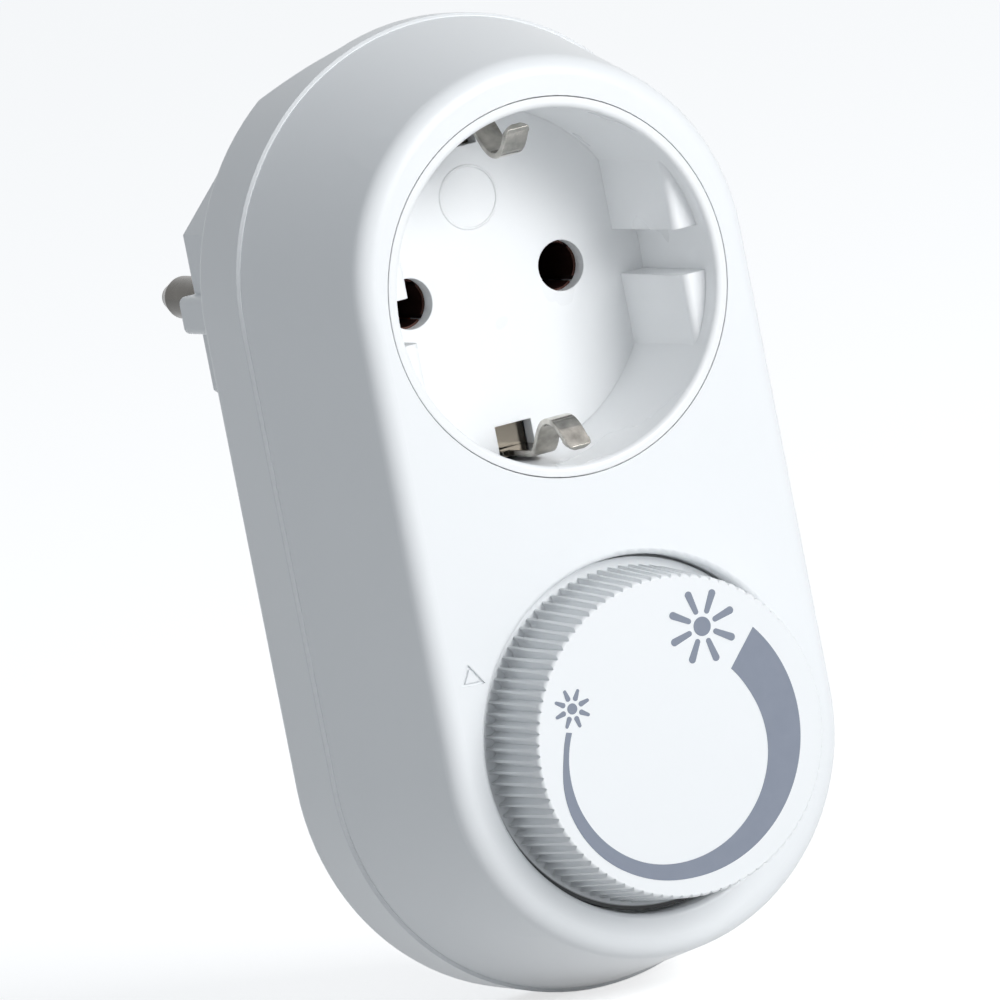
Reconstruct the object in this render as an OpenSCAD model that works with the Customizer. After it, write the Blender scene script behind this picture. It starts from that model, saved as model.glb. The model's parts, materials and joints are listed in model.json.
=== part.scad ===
// Plug in dimmer: a pass through socket over a turning dial, plugged straight into the wall.
// Sizes are in millimetres. x runs right, y runs from the front into the wall, z runs up.
// The origin is the middle of the plug's nose; inside the modules y starts at the front face.

/* [Socket] */
// Inside radius of the socket cup
mouth_r = 19.45; // [18.6:0.05:21]
// Wall of the socket cup
cup_wall = 1.2; // [1:0.1:1.6]
// Depth of the socket cup
cup_depth = 17.3; // [16:0.1:18]
// Thickness of the cup floor
cup_floor = 1.9; // [1.6:0.1:2.6]
// Rounding of the cup's inner rim
rim_round = 0.6; // [0.2:0.1:0.9]
// Distance between the two pins
pin_pitch = 19; // [18.4:0.1:20]
// Radius of the pin holes in the cup floor
hole_r = 2.8; // [2.6:0.05:3]
// Distance of the guide lands from the socket axis
land_x = 16.5; // [15.5:0.1:17.5]
// Set back of the guide lands from the mouth
land_back = 2.7; // [1.5:0.1:5]
// Width of the groove between the guide lands
land_groove = 5; // [4:0.1:6.5]
// Edge rounding of the guide lands
land_round = 0.8; // [0.3:0.1:1.2]

/* [Earth clips] */
// Width of the clip strip
clip_w = 2.9; // [2.4:0.1:3.4]
// Width of the clip's foot in its window
clip_foot = 4.2; // [3.6:0.1:4.8]
// Thickness of the clip strip
clip_t = 0.7; // [0.5:0.05:1]
// Gap between the clip leg and the cup wall
clip_off = 0.6; // [0.4:0.1:1]
// Height of the spring hump
hump_h = 3.7; // [2.5:0.1:4.2]
// Length of the spring hump
hump_l = 10.5; // [9:0.1:11.5]
// Set back of the spring hump from the mouth
hump_back = 0.8; // [0.5:0.1:1.6]
// Gap round the clip in its window
window_gap = 0.15; // [0.1:0.05:0.4]
// Height of the window in the cup floor
window_h = 4; // [3.5:0.1:5]

/* [Housing] */
// Flat rim outside the socket ring
face_rim = 1.1; // [0.1:0.1:2]
// Rounding of the front edge
face_round = 2.3; // [2:0.1:4]
// How much wider the joint line is than the flat front
side_spread = 6.3; // [6.2:0.05:9]
// Depth of the front cover
front_depth = 20.4; // [20.4:0.1:24]
// Depth of the rear cover
rear_depth = 10.4; // [10:0.1:13]
// How much narrower the rear edge is than the joint line
rear_inset = 0.1; // [0:0.1:1]
// Rounding of the rear edge
rear_round = 1.5; // [0.5:0.1:2]
// Rise of the upper arc over the socket axis
arc_rise = 1.3; // [1:0.1:4]
// Drop of the lower arc under the dial axis
arc_drop = 0.6; // [0:0.1:3]
// Distance from the socket axis down to the dial axis
dial_drop = 49.8; // [48.8:0.1:56]
// Wall of both covers
wall = 2.2; // [1.8:0.1:2.5]
// How far the rear cover stands out at the joint line
joint_step = 0.4; // [0.1:0.05:0.6]
// Chamfer of the rear cover along the joint line
joint_chamfer = 0.3; // [0.1:0.05:0.5]
// Depth of the top rim before the finger grip
grip_rim = 3.2; // [2.6:0.1:4.5]
// Step from the top rim down to the finger grip
grip_step = 1.5; // [0.5:0.1:2]
// Fall of the finger grip towards the wall
grip_fall = 4.8; // [2:0.1:5]
// Height of the rear cover's lip
lip_h = 2.4; // [1.5:0.1:2.6]
// Wall of the rear cover's lip
lip_wall = 1.2; // [0.8:0.1:1.4]
// Clearance between fixed pieces
fit = 0.1; // [0.05:0.05:0.15]
// Height of the engraved index mark
mark_h = 2.6; // [1.5:0.1:4]
// Line width of the engraved index mark
mark_line = 0.3; // [0.2:0.05:0.4]
// Depth of the engraved index mark
mark_depth = 0.25; // [0.1:0.05:0.5]

/* [Plug] */
// Distance from the plug axis to its side flats
boss_flat = 16.12; // [15.9:0.02:17]
// Distance from the plug axis to its slanted flats
boss_slant = 17.6; // [17:0.1:18.2]
// Length of the plug body
boss_l = 25.2; // [22:0.1:28]
// Wall of the plug body
boss_wall = 2; // [1.6:0.1:2.4]
// Wall at the plug's nose
nose_wall = 2.3; // [2:0.1:3]
// Width of the side tongues
tongue_w = 4.2; // [3.4:0.1:5]
// Reach of the side tongues from the plug axis
tongue_r = 18.2; // [17.6:0.02:19]
// Rounding of the side tongues' edges
tongue_round = 0.8; // [0.2:0.1:1.2]
// Radius of the plug pins
pin_r = 2.4; // [2:0.05:2.5]
// Length of the plug pins
pin_l = 19.5; // [18:0.5:20]
// Length of the tapered pin end
pin_taper = 3; // [1.5:0.1:4]
// Radius at the pin's end
pin_tip_r = 1.5; // [1:0.1:1.9]
// Width of the earth strips on the plug
strip_w = 5; // [4:0.1:6]
// Thickness of the earth strips on the plug
strip_t = 0.8; // [0.5:0.1:1]

/* [Dial] */
// Radius over the ribs at the dial's foot
rib_r = 18.4; // [17.8:0.05:18.8]
// How much the ribs close in towards the face
rib_taper = 0.8; // [0.4:0.05:1]
// Depth of the grooves between the ribs
rib_depth = 1.2; // [1.05:0.05:1.4]
// Number of ribs
rib_count = 90; // [60:1:110]
// Height of the dial's face over the front cover
dial_h = 8.1; // [6.5:0.1:10]
// Rounding of the dial's shoulder
dial_round = 0.5; // [0.3:0.1:1]
// Wall of the dial
dial_wall = 1.5; // [1.2:0.1:2]
// Width of the flange at the dial's foot
flange_w = 0.85; // [0.5:0.05:1.2]
// Thickness of the flange at the dial's foot
flange_t = 1.2; // [0.8:0.1:1.4]
// Gap round the flange in its well
flange_gap = 0.35; // [0.3:0.05:0.6]
// Depth of the flange's front under the cover's face
flange_drop = 2.4; // [1.8:0.1:2.8]
// Gap under the dial
dial_gap = 0.5; // [0.3:0.05:0.8]
// Floor of the dial's well
well_floor = 1.6; // [1.4:0.1:2]
// Rounding of the well's edge
well_round = 0.6; // [0.2:0.1:1]
// Radius of the spindle
spindle_r = 3; // [2.6:0.05:3.2]
// Depth of the flat on the spindle
spindle_flat = 0.7; // [0.4:0.1:1]
// Clearance of the spindle in its bush
turn_gap = 0.05; // [0.03:0.01:0.1]
// Wall of the threaded bush
bush_wall = 1; // [0.8:0.1:1.4]
// Thickness of the bush nut
nut_t = 1.8; // [1.5:0.1:2]
// Radius of the control's case
pot_r = 8.25; // [8:0.05:9]
// Depth of the control's case
pot_h = 6.5; // [6:0.1:7.2]

/* [Inside] */
// Radius of the housing screws' shank
screw_r = 1.5; // [1.3:0.05:1.6]
// Radius of the housing screws' head
head_r = 2.7; // [2.4:0.05:2.9]
// Wall round each screw
post_wall = 1.1; // [0.9:0.1:1.2]
// Radius of the small screws' shank
small_r = 1.1; // [0.9:0.05:1.2]
// Radius of the small screws' head
small_head_r = 2.1; // [1.8:0.05:2.2]
// Sideways place of the cup's screws
ear_x = 8; // [7.6:0.1:9]
// Thickness of the cup's ears
ear_t = 2; // [1.6:0.1:2.4]
// Depth of the board's front under the cover's face
board_y = 15; // [14.4:0.1:15.4]
// Thickness of the board
board_t = 1.6; // [1.2:0.1:1.8]
// Half of the board's width
board_w = 17; // [16.4:0.1:17.6]
// Thickness of the copper links
link_t = 0.8; // [0.6:0.1:1]
// Width of the copper links
link_w = 2.5; // [2:0.1:2.6]
// Wall of the socket contacts
contact_wall = 0.9; // [0.7:0.1:1]
// Length of the socket contacts
contact_l = 18.5; // [17.5:0.1:20]
// Radius of the fuse
fuse_r = 2.5; // [2.4:0.05:2.6]
// Length of the fuse
fuse_l = 20; // [18:0.5:20.5]
// Half of the heat sink's width
sink_w = 11; // [9:0.1:12]
// Thickness of the heat sink
sink_t = 1.2; // [0.8:0.1:1.6]
// Gap behind the heat sink
sink_gap = 1.4; // [0.5:0.1:3]
// Height of the heat sink's wings
wing_h = 5; // [4.6:0.1:5.2]
// Half of the triac's width
triac_w = 5; // [4:0.1:5.5]
// Width of the film capacitor
cap_w = 13; // [10:0.1:13.5]
// Height of the film capacitor
cap_h = 6; // [5:0.1:6.5]
// Outer radius of the choke's core
choke_r = 7; // [6:0.1:7.2]
// Thickness of the choke's winding
wind_t = 1.2; // [0.8:0.1:1.3]
// Radius of the resistors
resistor_r = 1.25; // [1:0.05:1.3]

/* [Hidden] */
$fn = 72;

ring_r = mouth_r + cup_wall;
flange_r = rib_r + flange_w;
well_r = flange_r + flange_gap;
face_r = max(ring_r + fit, well_r) + face_rim - fit;
body_r = face_r + side_spread;
rear_r = body_r + joint_step;
// Slope of the front cover's sides
lean = (body_r - face_r - face_round*1.02)/(front_depth - face_round);
lean_a = atan(lean);
side_n = sqrt(1 + lean*lean);
rear_y = front_depth + rear_depth;
nose_y = rear_y + boss_l;
cup_back = cup_depth + cup_floor;
rear_in = rear_y - wall;
top_z = arc_rise;
dial_z = -dial_drop;
low_z = dial_z - arc_drop;
rear_lean = rear_inset/rear_depth;

well_d = flange_drop + flange_t + dial_gap;
well_back = well_d + well_floor;
well_wall = 1.5;

post_r = screw_r + post_wall;
post_off = ring_r + fit + post_r + 0.2;
post_x = post_off*sin(42);
post_up = post_off*cos(42);
post_low = low_z - (body_r - 5.6)*cos(45);
post_at = [[post_x, post_up], [-post_x, post_up], [post_x, post_low], [-post_x, post_low]];
seat_y = front_depth + rear_depth*0.5;
sleeve_r = head_r + fit + 1.2;
head_h = 2;
screw_l = 14;

ear_post_r = small_r + 0.8;
ear_off = ring_r + ear_post_r + 0.5;
ear_z = sqrt(ear_off*ear_off - ear_x*ear_x);
ear_r = 3;
small_head_h = 1.5;
small_l = 8;
ear_at = [[ear_x, ear_z], [-ear_x, ear_z], [ear_x, -ear_z], [-ear_x, -ear_z]];

board_back = board_y + board_t;
board_top = -ear_z - ear_r - 1.4;
board_low = dial_z - 10.5;
stud_x = board_w - 2.5;
stud_r = small_r + 1.1;
stud_at = [[stud_x, board_top - 3], [-stud_x, board_top - 3], [stud_x, board_low + 3],
  [-stud_x, board_low + 3]];

bore_r = spindle_r + turn_gap;
bush_r = bore_r + bush_wall;
bush_end = well_d - nut_t - 1;
hub_y = bush_end - 0.6;
hub_wall = 2;
face_in = -dial_h + dial_wall;
spindle_end = face_in + 0.3;
pot_in = well_back + 1;
collar_y = pot_in + 0.3;

contact_y = cup_back + fit;
contact_bore = pin_r + 0.2;
contact_r = contact_bore + contact_wall;
contact_end = contact_y + contact_l;
guard_r = contact_r + fit + 0.9;
guard_l = 4.2;

tail_r = pin_r - 0.4;
root_r = pin_r + 0.6;
collar_r = pin_r + 1.2;
collar_l = 2.4;
nose_in = nose_y - nose_wall;
tail_y = nose_in - collar_l;
rivet_t = 0.8;
leg_y = rear_in + 4;
leg_z = 6;
window_z = mouth_r - window_h;
clip_z = mouth_r - clip_off - clip_t/2;
drop_y = contact_y + 5.5;
band_l = 2.5;
band_y = drop_y - band_l/2;
fuse_z = board_top - 5.5;
fuse_y = board_back + fuse_r + 1.1;
clip_x = fuse_l/2 - 2;
sink_z = board_low + 2.5;
sink_l = rear_in - sink_gap - board_back;
cap_z = fuse_z - fuse_r - 2;
diac_z = cap_z - cap_h - 1.8;
choke_in = choke_r*4/7;
choke_h = 0.8*choke_r;
choke_x = board_w - choke_r - wind_t - 0.8;
choke_z = fuse_z - fuse_r - choke_r - wind_t - 1.4;
choke_y = board_back + choke_h/2 + wind_t + 0.2;

// Half outline of the housing's front part, as radius and depth
module front_outline() {
  side = body_r - lean*(front_depth - face_round) - face_round*side_n;
  polygon([[0, 0], [side, 0], [side, face_round],
    [side + face_round*cos(lean_a), face_round - face_round*sin(lean_a)],
    [body_r, front_depth], [0, front_depth]]);
  translate([side, face_round]) circle(face_round);
}

// Inside radius of the front cover at a depth
function inner_r(y) = body_r - lean*(front_depth - y) - wall*side_n;
lip_r = inner_r(front_depth - lip_h) - fit;

module front_hollow() {
  ease = 2;
  polygon([[0, wall], [inner_r(wall + ease) - ease, wall], [inner_r(wall + ease), wall + ease],
    [inner_r(front_depth + 1), front_depth + 1], [0, front_depth + 1]]);
}

module rear_outline() {
  n = sqrt(1 + rear_lean*rear_lean);
  a = atan(rear_lean);
  side = rear_r - rear_lean*(rear_depth - rear_round) - rear_round*n;
  polygon([[0, front_depth], [rear_r - joint_chamfer, front_depth],
    [rear_r - rear_lean*joint_chamfer, front_depth + joint_chamfer],
    [side + rear_round*cos(a), rear_y - rear_round + rear_round*sin(a)],
    [side, rear_y - rear_round], [side, rear_y], [0, rear_y]]);
  translate([side, rear_y - rear_round]) circle(rear_round);
}

module rear_hollow() {
  polygon([[0, front_depth - 1], [rear_r - wall, front_depth - 1], [rear_r - wall, front_depth],
    [rear_r - wall - rear_lean*(rear_depth - wall), rear_in], [0, rear_in]]);
}

// Lip that enters the front cover, with the shelf that joins it to the rear cover's wall
module lip_outline() {
  polygon([[0, front_depth - lip_h], [lip_r, front_depth - lip_h], [lip_r, front_depth],
    [rear_r - wall/2, front_depth], [rear_r - wall/2, front_depth + lip_wall], [0, front_depth + lip_wall]]);
}

// Slanted finger grip behind the top rim, drawn in by an inset
module grip(inset) {
  y0 = front_depth + grip_rim;
  z0 = top_z + rear_r - grip_step;
  slope = grip_fall/(rear_depth - grip_rim);
  dip = inset*sqrt(1 + slope*slope);
  high = top_z + rear_r + 5;
  rotate([90, 0, 90]) linear_extrude(4*rear_r, center = true)
    polygon([[y0 - inset, high], [y0 - inset, z0 + slope*inset - dip],
      [rear_y + 1, z0 - slope*(rear_y + 1 - y0) - dip], [rear_y + 1, high]]);
}

// Turns a half outline round both arc centres and runs it straight between them
module pill() {
  for (z = [top_z, low_z]) translate([0, 0, z]) rotate([-90, 0, 0]) rotate_extrude() children();
  translate([0, 0, low_z]) linear_extrude(top_z - low_z) {
    children();
    mirror([1, 0]) children();
  }
}

// A round bar along the depth, from one depth to another
module bar(x, z, y0, y1, r) {
  translate([x, y0, z]) rotate([-90, 0, 0]) cylinder(r = r, h = y1 - y0);
}

// A box between two corners
module box(a, b) {
  translate(a) cube(b - a);
}

module turned(x, z) {
  translate([x, 0, z]) rotate([-90, 0, 0]) rotate_extrude() children();
}

// Moves a piece from the front datum to the part's origin
module seat() {
  translate([0, -nose_y, 0]) children();
}

module mark_shape() {
  polygon([[0, 0], [-mark_h, -mark_h/2], [-mark_h, mark_h/2]]);
}

module index_mark() {
  // Outline of a triangle that points at the dial's rim
  tip = well_r + well_round + 0.3;
  middle = -0.691*mark_h;
  inner = 1 - mark_line/(0.309*mark_h);
  translate([0, -1, dial_z]) rotate([0, 29, 0]) translate([-tip, 0, 0]) rotate([-90, 0, 0])
    linear_extrude(1 + mark_depth) difference() {
      mark_shape();
      translate([middle*(1 - inner), 0]) scale(inner) mark_shape();
    }
}

module front_cover() {
  color("white") seat() difference() {
    union() {
      difference() {
        pill() front_outline();
        pill() front_hollow();
      }
      // Well of the dial
      bar(0, dial_z, wall/2, well_back, well_r + well_wall);
      // Posts for the screws
      intersection() {
        pill() front_outline();
        union() {
          for (p = post_at) bar(p[0], p[1], wall/2, front_depth, post_r);
          for (p = ear_at) bar(p[0], p[1], wall/2, cup_back - ear_t, ear_post_r);
          for (p = stud_at) bar(p[0], p[1], wall/2, board_y, stud_r);
        }
      }
    }
    bar(0, 0, -1, wall + 2.5, ring_r + fit);
    bar(0, dial_z, -1, well_d, well_r);
    // Rounded edge of the well
    turned(0, dial_z) difference() {
      translate([well_r - 1, -1]) square([1 + well_round, 1 + well_round]);
      translate([well_r + well_round, well_round]) circle(well_round);
    }
    bar(0, dial_z, 0, well_back + 1, bush_r + fit);
    for (p = post_at) bar(p[0], p[1], seat_y - screw_l - 1, front_depth + 1, screw_r + fit/2);
    for (p = ear_at) bar(p[0], p[1], cup_back - small_l - 0.5, cup_back, small_r + fit/2);
    for (p = stud_at) bar(p[0], p[1], board_back - small_l - 0.5, board_y + 1, small_r + fit/2);
    index_mark();
  }
}

// Eight sided section of the plug body, drawn in by an inset
module boss_section(inset) {
  a = 2*(boss_flat - inset);
  c = 2*(boss_slant - inset);
  intersection() {
    square(a, center = true);
    rotate(45) square(c, center = true);
  }
}

module boss_prism(inset, y0, y1) {
  translate([0, y0, 0]) rotate([-90, 0, 0]) linear_extrude(y1 - y0) boss_section(inset);
}

module rear_cover() {
  color("white") seat() difference() {
    union() {
      difference() {
        pill() rear_outline();
        difference() {
          pill() rear_hollow();
          grip(wall);
        }
      }
      difference() {
        pill() lip_outline();
        pill() translate([0, front_depth - lip_h - 1]) square([lip_r - lip_wall, lip_h + lip_wall + 2]);
        for (p = post_at) bar(p[0], p[1], 0, front_depth, post_r + 0.5);
        for (p = ear_at) bar(p[0], p[1], 0, front_depth + lip_wall + 1, ear_r + 0.6);
      }
      // Sleeves for the housing screws
      intersection() {
        pill() rear_outline();
        for (p = post_at) bar(p[0], p[1], front_depth, rear_y, sleeve_r);
      }
      boss_prism(0, rear_in, nose_y);
      // Side tongues
      translate([0, rear_in, 0]) rotate([-90, 0, 0]) linear_extrude(nose_y - rear_in) {
        square([2*(tongue_r - tongue_round), tongue_w], center = true);
        square([2*tongue_r, tongue_w - 2*tongue_round], center = true);
        for (s = [-1, 1], t = [-1, 1])
          translate([s*(tongue_r - tongue_round), t*(tongue_w/2 - tongue_round)]) circle(tongue_round);
      }
    }
    grip(0);
    boss_prism(boss_wall, rear_in - 1, nose_in);
    for (p = post_at) {
      bar(p[0], p[1], front_depth - 1, rear_y + 1, screw_r + fit);
      bar(p[0], p[1], seat_y, rear_y + 1, head_r + fit);
    }
    for (s = [-1, 1]) {
      bar(s*pin_pitch/2, 0, nose_in - 1, nose_y + 1, root_r + fit/2);
      // Seat of the earth strip with a slot for its leg
      box([-strip_w/2 - fit, rear_y, s > 0 ? boss_flat - strip_t : -boss_flat - 1],
        [strip_w/2 + fit, nose_y - 3, s > 0 ? boss_flat + 1 : -boss_flat + strip_t]);
      box([-strip_w/2 - fit, leg_y - fit, s > 0 ? 1 : -boss_flat],
        [strip_w/2 + fit, leg_y + strip_t + fit, s > 0 ? boss_flat : -1]);
    }
  }
}

module lands() {
  intersection() {
    bar(0, 0, land_back, cup_depth + 0.5, mouth_r + cup_wall/2);
    for (s = [-1, 1], t = [-1, 1]) {
      far = mouth_r + cup_wall;
      translate([0, 0, t > 0 ? land_groove/2 : -land_groove/2 - mouth_r])
        linear_extrude(mouth_r) mirror([s < 0 ? 1 : 0, 0]) {
          translate([land_x, land_back + land_round]) square([far - land_x, cup_depth - land_back]);
          translate([land_x + land_round, land_back]) square([far - land_x, cup_depth]);
          translate([land_x + land_round, land_back + land_round]) circle(land_round);
        }
    }
  }
}

module socket_insert() {
  color("whitesmoke") seat() difference() {
    union() {
      difference() {
        turned(0, 0) difference() {
          square([ring_r, cup_back]);
          translate([0, -1]) square([mouth_r, cup_depth + 1]);
          // Rounded inner rim
          difference() {
            translate([mouth_r - 1, -1]) square([1 + rim_round, 1 + rim_round]);
            translate([mouth_r + rim_round, rim_round]) circle(rim_round);
          }
        }
      }
      lands();
      // Ears with their webs
      for (p = ear_at) {
        bar(p[0], p[1], cup_back - ear_t, cup_back, ear_r);
        s = p[1] > 0 ? 1 : -1;
        box([p[0] - ear_r, cup_back - ear_t, s > 0 ? ring_r/2 : -abs(p[1])],
          [p[0] + ear_r, cup_back, s > 0 ? abs(p[1]) : -ring_r/2]);
      }
      // Guards round the contacts
      for (s = [-1, 1]) bar(s*pin_pitch/2, 0, cup_back - 0.5, cup_back + guard_l, guard_r);
    }
    // Inside of the cup again, past the ears' webs
    bar(0, 0, cup_depth - ear_t - 2, cup_depth, min(mouth_r, land_x) - 0.5);
    for (s = [-1, 1]) {
      bar(s*pin_pitch/2, 0, 0, cup_back + guard_l + 1, hole_r);
      bar(s*pin_pitch/2, 0, cup_back, cup_back + guard_l + 1, contact_r + fit);
      box([-clip_foot/2 - window_gap, cup_depth - 1, s > 0 ? window_z : -mouth_r],
        [clip_foot/2 + window_gap, cup_back + 1, s > 0 ? mouth_r : -window_z]);
    }
    for (p = ear_at) bar(p[0], p[1], 0, cup_back + 1, small_r + fit);
  }
}

// Middle line of one earth clip, as depth and distance from the socket axis
clip_n = 28;
clip_y0 = hump_back + clip_t/2;
clip_k0 = 3;
function hump(k) = let(t = k/clip_n)
  [clip_y0 + hump_l*t, clip_z - hump_h*(1 - cos(360*(t + 0.045*sin(360*t))))/2];
function clip_line() = concat([for (k = [clip_k0:clip_n]) hump(k)], [[cup_back + clip_t/2, clip_z]]);
function unit(v) = v/norm(v);
function side_of(p, i) = let(a = p[max(i - 1, 0)], b = p[min(i + 1, len(p) - 1)], d = unit(b - a))
  [-d[1], d[0]];
function ribbon(p, t) = concat([for (i = [0:len(p) - 1]) p[i] + side_of(p, i)*t/2],
  [for (i = [len(p) - 1:-1:0]) p[i] - side_of(p, i)*t/2]);

module earth_spring() {
  tip_r = 0.4*clip_w;
  tip = hump(clip_k0) + [0, 0.35*clip_t];
  color("silver") seat() {
    for (s = [0, 1]) mirror([0, 0, s]) {
      difference() {
        translate([clip_w/2, 0, 0]) rotate([90, 0, -90])
          linear_extrude(clip_w) mirror([1, 0]) polygon(ribbon(clip_line(), clip_t));
        // Rounded tip
        for (m = [0, 1]) mirror([m, 0, 0]) difference() {
          box([clip_w/2 - tip_r, tip[0] - 2, tip[1] - tip_r], [clip_w, tip[0] + 1.8, tip[1] + 2]);
          bar(clip_w/2 - tip_r, tip[1] - tip_r, tip[0] - 3, tip[0] + 3, tip_r);
        }
      }
      // Wider foot in the window
      box([-clip_foot/2, cup_depth - 0.6, clip_z - clip_t/2],
        [clip_foot/2, cup_back + clip_t, clip_z + clip_t/2]);
    }
    box([-clip_foot/2, cup_back, -clip_z - clip_t/2],
      [clip_foot/2, cup_back + clip_t, clip_z + clip_t/2]);
  }
}

module earth_strip(s) {
  end_y = nose_y - 3 - fit;
  color("silver") seat() mirror([0, 0, s < 0 ? 1 : 0]) {
    box([-strip_w/2, rear_y + fit, boss_flat - strip_t], [strip_w/2, end_y, boss_flat]);
    box([-strip_w/2, leg_y, leg_z], [strip_w/2, leg_y + strip_t, boss_flat - strip_t/2]);
  }
}

module upper_earth_strip() {
  earth_strip(1);
}

module lower_earth_strip() {
  earth_strip(-1);
}

module earth_link() {
  w = clip_foot/2;
  color("gold") seat() {
    box([-w, cup_back + clip_t, -2], [w, cup_back + clip_t + link_t, 4]);
    box([-w, cup_back + clip_t, -link_t/2], [w, leg_y, link_t/2]);
    box([-w, leg_y - link_t, -leg_z - 2.5], [w, leg_y, leg_z + 2.5]);
  }
}

module socket_contact(s) {
  slit = 0.7;
  color("goldenrod") seat() difference() {
    bar(s*pin_pitch/2, 0, contact_y, contact_end, contact_r);
    bar(s*pin_pitch/2, 0, contact_y - 1, contact_end - 1, contact_bore);
    for (a = [45, 135]) translate([s*pin_pitch/2, contact_y - 1, 0]) rotate([0, a, 0])
      translate([-contact_r - 1, 0, -slit/2]) cube([2*contact_r + 2, contact_l - 2, slit]);
  }
}

module live_socket_contact() {
  socket_contact(-1);
}

module neutral_socket_contact() {
  socket_contact(1);
}

module plug_pin(s) {
  tip = nose_y + pin_l;
  end_round = 0.5;
  color("silver") seat() turned(s*pin_pitch/2, 0) {
    polygon([[0, tail_y - link_t - rivet_t], [tail_r + 0.8, tail_y - link_t - rivet_t],
      [tail_r + 0.8, tail_y - link_t], [tail_r, tail_y - link_t], [tail_r, tail_y], [collar_r, tail_y],
      [collar_r, nose_in], [root_r, nose_in], [root_r, nose_y], [pin_r, nose_y],
      [pin_r, tip - pin_taper], [pin_tip_r, tip - end_round],
      [pin_tip_r - end_round, tip - end_round], [pin_tip_r - end_round, tip], [0, tip]]);
    intersection() {
      translate([pin_tip_r - end_round, tip - end_round]) circle(end_round);
      square([pin_r, tip + 1]);
    }
  }
}

module live_pin() {
  plug_pin(-1);
}

module neutral_pin() {
  plug_pin(1);
}

// Ring under a pin's rivet head with the leg that leaves it
module pin_ring(s, z0) {
  x = s*pin_pitch/2;
  y1 = tail_y;
  difference() {
    union() {
      bar(x, 0, y1 - link_t, y1, collar_r);
      box([x - link_w/2, y1 - link_t, min(0, z0)], [x + link_w/2, y1, max(0, z0)]);
    }
    bar(x, 0, y1 - link_t - 1, y1 + 1, tail_r + fit/2);
  }
}

module neutral_link() {
  x = pin_pitch/2;
  z = contact_r + 1.2;
  color("orange") seat() {
    pin_ring(1, z + link_t);
    box([x - link_w/2, contact_end, z], [x + link_w/2, tail_y, z + link_t]);
    bar(x, 0, contact_end, contact_end + link_t, contact_r);
    box([x - link_w/2, contact_end, 0], [x + link_w/2, contact_end + link_t, z + link_t]);
  }
}

module live_link() {
  x = -pin_pitch/2;
  z = -contact_r - 1.2;
  x0 = x - link_w;
  foot = board_top - 2;
  color("orange") seat() {
    pin_ring(-1, z - link_t);
    box([x0, drop_y, z - link_t], [x + link_w/2, tail_y, z]);
    box([x0, drop_y, foot], [x0 + link_w, drop_y + link_t, z]);
    box([x0, board_back, foot - link_t], [x0 + link_w, drop_y + link_t, foot]);
  }
}

// Band round the live contact with a leg down to the board
module load_link() {
  x = -pin_pitch/2;
  x0 = x + link_w/2 + 0.3;
  foot = board_top - 0.6;
  color("orange") seat() difference() {
    union() {
      bar(x, 0, band_y, band_y + band_l, contact_r + link_t);
      box([x0, band_y, foot], [x0 + link_w, band_y + link_t, 0]);
      box([x0, board_back, foot - link_t], [x0 + link_w, band_y + link_t, foot]);
    }
    bar(x, 0, band_y - 1, band_y + band_l + 1, contact_r);
  }
}

module circuit_board() {
  color("darkgreen") seat() difference() {
    box([-board_w, board_y, board_low], [board_w, board_back, board_top]);
    for (p = stud_at) bar(p[0], p[1], 0, board_back + 1, small_r + fit);
  }
}

module control_case() {
  color("slategray") seat() difference() {
    union() {
      bar(0, dial_z, well_back, well_back + pot_h, pot_r);
      bar(0, dial_z, bush_end, well_back + 0.5, bush_r);
    }
    bar(0, dial_z, pot_in, well_back + pot_h + 1, pot_r - 1.2);
    bar(0, dial_z, bush_end - 1, pot_in + 1, bore_r);
  }
}

module control_wafer() {
  y = well_back + pot_h;
  color("sienna") seat() {
    bar(0, dial_z, y, y + 1.2, pot_r);
    for (x = [-5, 0, 5]) {
      box([x - 0.6, y, dial_z - pot_r - 1.5], [x + 0.6, y + 0.6, dial_z - 5]);
      box([x - 0.6, y, dial_z - pot_r - 1.5], [x + 0.6, board_y, dial_z - pot_r - 0.9]);
    }
  }
}

module bush_nut() {
  color("silver") seat() difference() {
    translate([0, well_d - nut_t, dial_z]) rotate([-90, 0, 0])
      cylinder(r = bush_r + 2.2, h = nut_t, $fn = 6);
    bar(0, dial_z, 0, well_d + 1, bush_r + fit/2);
  }
}

module spindle() {
  color("ivory") seat() difference() {
    union() {
      bar(0, dial_z, spindle_end, collar_y + 2, spindle_r);
      bar(0, dial_z, collar_y, collar_y + 1, spindle_r + 1.5);
    }
    box([-spindle_r - 1, spindle_end - 1, dial_z + spindle_r - spindle_flat],
      [spindle_r + 1, hub_y, dial_z + spindle_r + 1]);
  }
}

module wiper() {
  y = collar_y + 1;
  color("gold") seat() difference() {
    union() {
      bar(0, dial_z, y, y + 0.8, pot_r - 2.4);
      box([-1, y, dial_z + 2], [1, well_back + pot_h - 0.3, dial_z + pot_r - 3]);
    }
    bar(0, dial_z, y - 1, y + 3, spindle_r + fit/2);
  }
}

module dial_outline() {
  foot = flange_drop;
  front = -dial_h;
  crown = rib_r - rib_taper;
  polygon([[0, front], [crown - dial_round, front], [crown - dial_round, front + dial_round],
    [crown, front + dial_round], [rib_r, foot], [rib_r, foot + 0.2], [0, foot + 0.2]]);
  translate([crown - dial_round, front + dial_round]) circle(dial_round);
}

function rib_point(k, r, f) = [r*cos(360*(k + f)/rib_count), r*sin(360*(k + f)/rib_count)];
rib_star = [for (k = [0:rib_count - 1]) each [
  rib_point(k, rib_r + 0.25, 0.08), rib_point(k, rib_r - rib_depth*0.6, 0.16),
  rib_point(k, rib_r - rib_depth, 0.5), rib_point(k, rib_r - rib_depth*0.6, 0.84),
  rib_point(k, rib_r + 0.25, 0.92)]];

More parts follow.
